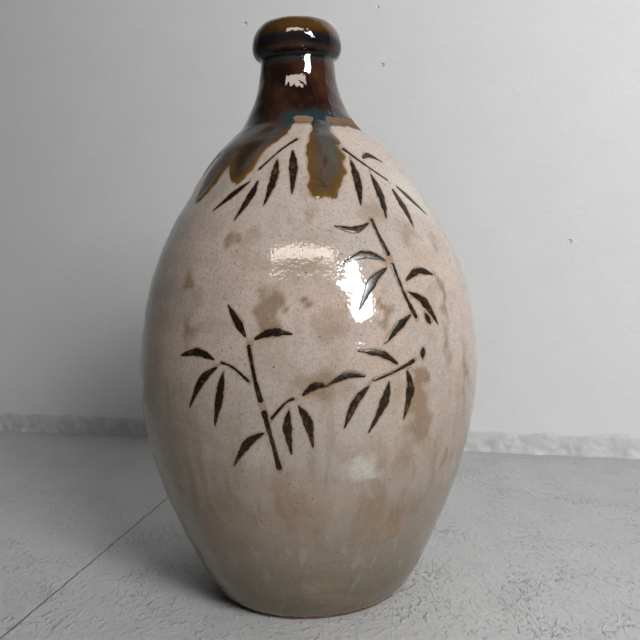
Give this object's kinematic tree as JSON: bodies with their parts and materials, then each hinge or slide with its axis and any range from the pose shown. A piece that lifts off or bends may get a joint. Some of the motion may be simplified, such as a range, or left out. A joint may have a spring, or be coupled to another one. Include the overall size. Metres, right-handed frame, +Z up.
{
  "type": "sake bottle",
  "caption": "Tall egg-shaped stoneware sake bottle with a narrow neck, rolled collar, poured dark glaze on the shoulder and brushed leaves on a pale belly.",
  "frame": {"origin": "centre of the base, on the surface that the bottle stands on", "axes": "+Z is up, along the bottle's axis of symmetry from the base to the mouth; -Y is the front, with the glaze tongue and the brushed branches; +X is to the right seen from the front"},
  "size_m": [0.181, 0.1814, 0.3005],
  "materials": {
    "clay": "unglazed stoneware, dry and slightly gritty",
    "inner_glaze": "thin glossy brown glaze",
    "pale_glaze": "semi-gloss pale ash glaze, warm grey-beige, mottled with brown stains and dark specks",
    "iron_glaze": "glossy poured iron glaze, red-brown to black with amber edges and blue-grey pools",
    "iron_slip": "glossy brushed iron slip, near black where thick and amber where thin"
  },
  "bodies": {
    "root": {"lower_body": "clay", "upper_body": "clay", "neck": "clay", "collar": "clay", "inner_glaze": "inner_glaze", "pale_glaze": "pale_glaze", "neck_glaze": "iron_glaze", "glaze_runs": "iron_glaze", "upper_left_leaves": "iron_slip", "upper_right_leaves": "iron_slip", "right_branch": "iron_slip", "lower_right_leaves": "iron_slip", "left_branch": "iron_slip"}
  },
  "joints": []
}
